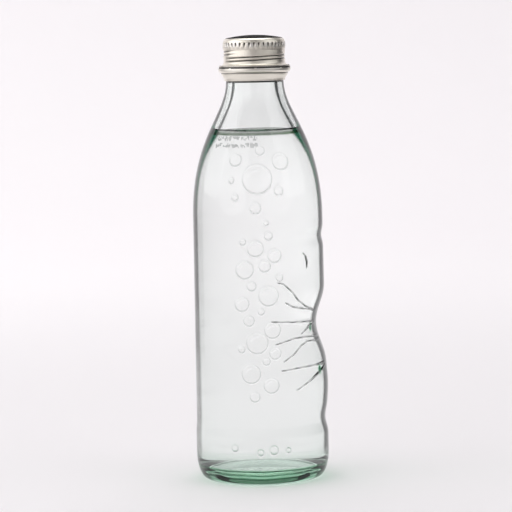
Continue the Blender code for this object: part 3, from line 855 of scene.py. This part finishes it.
ROLLER_STRETCH, ROLLER_LINES, ROLLER_CONTRAST = (0.012, 0.012, 1.0), 9000.0, 0.05
SMEARS = 160.0
HOLLOW_SHADE_SHARE, RUBBED_SHARE, RUBBED_SHINE = 0.92, 0.7, 0.06
CAP_COLOUR, CAP_ROUGHNESS = (0.92, 0.87, 0.77, 1.0), (0.33, 0.39)
RUBBED_COLOUR = (0.93, 0.92, 0.90, 1.0)


def turned_marks():
    """A node group: the fine lines that rollers leave round a sheet, rubbed edges and hollows painted dark
    as shade.
    """
    group = bpy.data.node_groups.new("turned_marks", "ShaderNodeTree")
    for name in ("Colour", "Least Roughness", "Most Roughness"):
        kind = "NodeSocketColor" if name == "Colour" else "NodeSocketFloat"
        group.interface.new_socket(name, in_out="INPUT", socket_type=kind)
    for name in ("Colour", "Roughness", "Height"):
        kind = "NodeSocketColor" if name == "Colour" else "NodeSocketFloat"
        group.interface.new_socket(name, in_out="OUTPUT", socket_type=kind)
    given = group.nodes.new("NodeGroupInput")
    made = group.nodes.new("NodeGroupOutput")
    links = group.links
    where = group.nodes.new("ShaderNodeTexCoord")
    stretch = group.nodes.new("ShaderNodeMapping")
    stretch.inputs["Scale"].default_value = ROLLER_STRETCH
    links.new(where.outputs["Object"], stretch.inputs["Vector"])
    lines = group.nodes.new("ShaderNodeTexNoise")
    lines.inputs["Scale"].default_value = ROLLER_LINES
    lines.inputs["Detail"].default_value = 3.0
    links.new(stretch.outputs["Vector"], lines.inputs["Vector"])
    smears = group.nodes.new("ShaderNodeTexNoise")
    smears.inputs["Scale"].default_value = SMEARS
    smears.inputs["Detail"].default_value = 4.0
    links.new(where.outputs["Object"], smears.inputs["Vector"])
    streaked = maths(group, "MULTIPLY", maths(group, "SUBTRACT", lines.outputs["Fac"], 0.5), ROLLER_CONTRAST)
    # Painted shade darkens the hollows
    shade_in_hollows = maths(group, "SUBTRACT", 1.0, maths(group, "MULTIPLY", painted(group, "hollow_shade"), HOLLOW_SHADE_SHARE))
    shaded = group.nodes.new("ShaderNodeHueSaturation")
    links.new(given.outputs["Colour"], shaded.inputs["Color"])
    links.new(maths(group, "MULTIPLY", maths(group, "ADD", streaked, 1.0), shade_in_hollows), shaded.inputs["Value"])
    worn = maths(group, "MULTIPLY", painted(group, "rubbed"), eased(group, smears.outputs["Fac"], 0.35, 0.6))
    bared = maths(group, "MULTIPLY", worn, RUBBED_SHARE)
    links.new(blend(group, bared, shaded.outputs["Color"], RUBBED_COLOUR), made.inputs["Colour"])
    span = maths(group, "SUBTRACT", given.outputs["Most Roughness"], given.outputs["Least Roughness"])
    spread = maths(group, "MULTIPLY", smears.outputs["Fac"], span)
    rough = maths(group, "ADD", spread, given.outputs["Least Roughness"])
    polish = maths(group, "MULTIPLY", worn, RUBBED_SHINE)
    links.new(maths(group, "SUBTRACT", rough, polish), made.inputs["Roughness"])
    links.new(lines.outputs["Fac"], made.inputs["Height"])
    return group


def bumped(tree, shader, height, strength, distance):
    """Fine relief in a finish."""
    relief = tree.nodes.new("ShaderNodeBump")
    relief.inputs["Strength"].default_value = strength
    relief.inputs["Distance"].default_value = distance
    tree.links.new(height, relief.inputs["Height"])
    tree.links.new(relief.outputs["Normal"], shader.inputs["Normal"])


MARKS = turned_marks()


def sheet_metal(name, colour, least, most):
    """Lacquered aluminium sheet with roller lines and rubbed edges."""
    metal, tree, shader = new_finish(name)
    shader.inputs["Metallic"].default_value = 1.0
    shader.inputs["Coat Weight"].default_value = 0.2
    shader.inputs["Coat Roughness"].default_value = 0.2
    marks = tree.nodes.new("ShaderNodeGroup")
    marks.node_tree = MARKS
    marks.inputs["Colour"].default_value = colour
    marks.inputs["Least Roughness"].default_value = least
    marks.inputs["Most Roughness"].default_value = most
    tree.links.new(marks.outputs["Colour"], shader.inputs["Base Color"])
    tree.links.new(marks.outputs["Roughness"], shader.inputs["Roughness"])
    bumped(tree, shader, marks.outputs["Height"], 0.05, 0.00002)
    return metal


# The inside has a dull lacquer, darkened in part as painted shade, thinner where it has scuffed,
# and the crown a dark matte one, with pale specks where it has chipped
INSIDE_GRAIN, INSIDE_TONES = 420.0, ((0.0, (0.035, 0.032, 0.028, 1.0)), (1.0, (0.085, 0.080, 0.070, 1.0)))
CROWN_GRAIN, CROWN_TONES = 900.0, ((0.55, (0.012, 0.011, 0.011, 1.0)), (0.78, (0.090, 0.085, 0.080, 1.0)))
shaded_inside_lacquer, tree, shader = new_finish("shaded_inside_lacquer", 0.55)
mottle(tree, shader, "ShaderNodeTexNoise", INSIDE_GRAIN, INSIDE_TONES)
crown_lacquer, tree, shader = new_finish("crown_lacquer", 0.75)
shader.inputs["Specular IOR Level"].default_value = 0.08
mottle(tree, shader, "ShaderNodeTexNoise", CROWN_GRAIN, CROWN_TONES)
cap.data.materials.append(sheet_metal("cap_aluminium", CAP_COLOUR, *CAP_ROUGHNESS))
cap.data.materials.append(shaded_inside_lacquer)
cap.data.materials.append(crown_lacquer)
for face in cap.data.polygons:
    if face.center.xy.length < PANEL_RADIUS + 0.0005 and face.center.z > PANEL_EDGE - 0.0004:
        face.material_index = 2
give_thickness(cap, SHEET)

# A dark sheet stands inside the hem as painted shade for the slit under it
SLIT_SHADE_RADIUS, SLIT_SHADE_THICKNESS, SLIT_SHADE_COLUMNS = 0.01610, 0.00010, 160
slit_shade_outline = [
    (SLIT_SHADE_RADIUS, HEM - 0.00105),
    (SLIT_SHADE_RADIUS, HEM + 0.00015),
    (SLIT_SHADE_RADIUS - 0.00020, HEM + 0.00045),
]
slit_shade = turn("slit_shade_sheet", slit_shade_outline, SLIT_SHADE_COLUMNS)
slit_shade.data.materials.append(shaded_inside_lacquer)
give_thickness(slit_shade, SLIT_SHADE_THICKNESS)
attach(slit_shade, "cap")
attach(cap, "cap")
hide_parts("cap_shell")

# Liner
# A soft disc punched from foamed sheet and pressed up inside the cap's panel. The lip of the
# glass leaves a shallow ring in its underside.
LINER_BOTTOM, LINER_TOP, LINER_RADIUS, LINER_ROUND = 0.20060, 0.20130, 0.01255, 0.0002
LIP_MIDDLE, LIP_MARK = 0.0108, 0.00013
LINER_COLUMNS, UNDERSIDE_ROW, TOP_ROW, ROUND_STEPS = 96, 0.0015, 0.003, 4
FOAM_CELLS, FOAM_TONES = 3500.0, ((0.0, (0.70, 0.70, 0.66, 1.0)), (1.0, (0.84, 0.84, 0.81, 1.0)))

liner_outline = [(0.0, LINER_BOTTOM)]
liner_outline += straight((0, LINER_BOTTOM), (LIP_MIDDLE - 0.0011, LINER_BOTTOM), UNDERSIDE_ROW)
liner_outline += [
    (LIP_MIDDLE - 0.0009, LINER_BOTTOM + 0.00008),
    (LIP_MIDDLE, LINER_BOTTOM + LIP_MARK),
    (LIP_MIDDLE + 0.0008, LINER_BOTTOM + 0.00008),
    (LIP_MIDDLE + 0.0011, LINER_BOTTOM),
]
rounded = LINER_RADIUS - LINER_ROUND
liner_outline += arc((rounded, LINER_BOTTOM + LINER_ROUND), LINER_ROUND, -math.pi / 2, 0, ROUND_STEPS)
liner_outline += arc((rounded, LINER_TOP - LINER_ROUND), LINER_ROUND, 0, math.pi / 2, ROUND_STEPS)
liner_outline += straight((rounded, LINER_TOP), (0, LINER_TOP), TOP_ROW)
liner = turn("foam_liner", liner_outline, LINER_COLUMNS)
foam, tree, shader = new_finish("liner_foam", 0.62)
cells = mottle(tree, shader, "ShaderNodeTexVoronoi", FOAM_CELLS, FOAM_TONES)
bumped(tree, shader, cells, 0.4, 0.00005)
liner.data.materials.append(foam)
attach(liner, "liner")
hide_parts("cap_liner")

# Tamper ring
# The lowest band of the same sheet, cut free but for eight bridges. It is rolled in under the
# glass bead, and stays on the neck with the torn bridges on its edge.
RING_TOP, RING_HEM, RING_HEM_RADIUS, RING_HEM_ROUND = 0.18810, 0.18242, 0.01385, 0.00022
RING_CREASE, RING_SHOULDER = 0.18588, 0.18720
BRIDGES, BRIDGE_RISE, BRIDGE_COLUMNS = 8, 0.00032, 3
TEAR_DEPTH = 0.00022
RING_HEM_FROM, RING_HANDLES = -math.pi * 0.8, (0.35, 0.30)
RING_COLUMNS, RING_ROW, RING_HEM_STEPS, RING_STEPS = 288, 0.0002, 5, 12
RING_COLOUR, RING_ROUGHNESS = (0.90, 0.86, 0.77, 1.0), (0.33, 0.42)

hem_middle = (RING_HEM_RADIUS - RING_HEM_ROUND, RING_HEM + RING_HEM_ROUND)
ring_outline = arc(hem_middle, RING_HEM_ROUND, RING_HEM_FROM, 0, RING_HEM_STEPS)
ring_outline += bezier(ring_outline[-1], (0.01522, RING_CREASE), RING_HANDLES, RING_STEPS, True)
ring_outline += [
    (0.01518, RING_CREASE + 0.00008),
    (0.01528, RING_CREASE + 0.00018),
    (0.01572, RING_CREASE + 0.00038),
    (0.01612, RING_CREASE + 0.00074),
    (0.01636, RING_CREASE + 0.00104),
    (BAND_RADIUS - 0.00001, RING_SHOULDER),
]
ring_outline += straight(ring_outline[-1], (BAND_RADIUS, RING_TOP - 0.0001), RING_ROW)
ring_outline += [(BAND_RADIUS - 0.00004, RING_TOP)]
ring = turn("tamper_band", ring_outline, RING_COLUMNS)


def column_of(point):
    """How many columns round the ring a point stands."""
    return (math.atan2(point.y, point.x) % math.tau) * RING_COLUMNS / math.tau


# Each bridge is drawn up out of the top edge and torn off unevenly
select_none("EDGE")
ends = ring.data.vertices
for edge in ring.data.edges:
    first, last = (ends[end].co for end in edge.vertices)
    column = int(column_of((first + last) / 2)) % (RING_COLUMNS // BRIDGES)
    edge.select = min(first.z, last.z) > RING_TOP - 0.00001 and column < BRIDGE_COLUMNS
bpy.ops.object.mode_set(mode="EDIT")
bpy.ops.mesh.extrude_edges_move(TRANSFORM_OT_translate={"value": (0, 0, BRIDGE_RISE)})
bpy.ops.object.mode_set(mode="OBJECT")
for point in ring.data.vertices:
    if point.co.z > RING_TOP + 0.0001:
        point.co.z -= TEAR_DEPTH * (round(column_of(point.co)) * 7 % 5) / 5
*_, heights = places_of(ring)
# The ring's crease is painted dark as shade
paint(ring, "hollow_shade", bump(heights - RING_CREASE - 0.0001, 0.00028))
edges = bump(heights - RING_TOP, 0.0003) + bump(heights - RING_SHOULDER, 0.0005) * 0.6
paint(ring, "rubbed", np.clip(edges, 0, 1))
ring.data.materials.append(sheet_metal("ring_aluminium", RING_COLOUR, *RING_ROUGHNESS))
ring.data.materials.append(shaded_inside_lacquer)
give_thickness(ring, SHEET)
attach(ring, "ring")
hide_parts("tamper_ring")
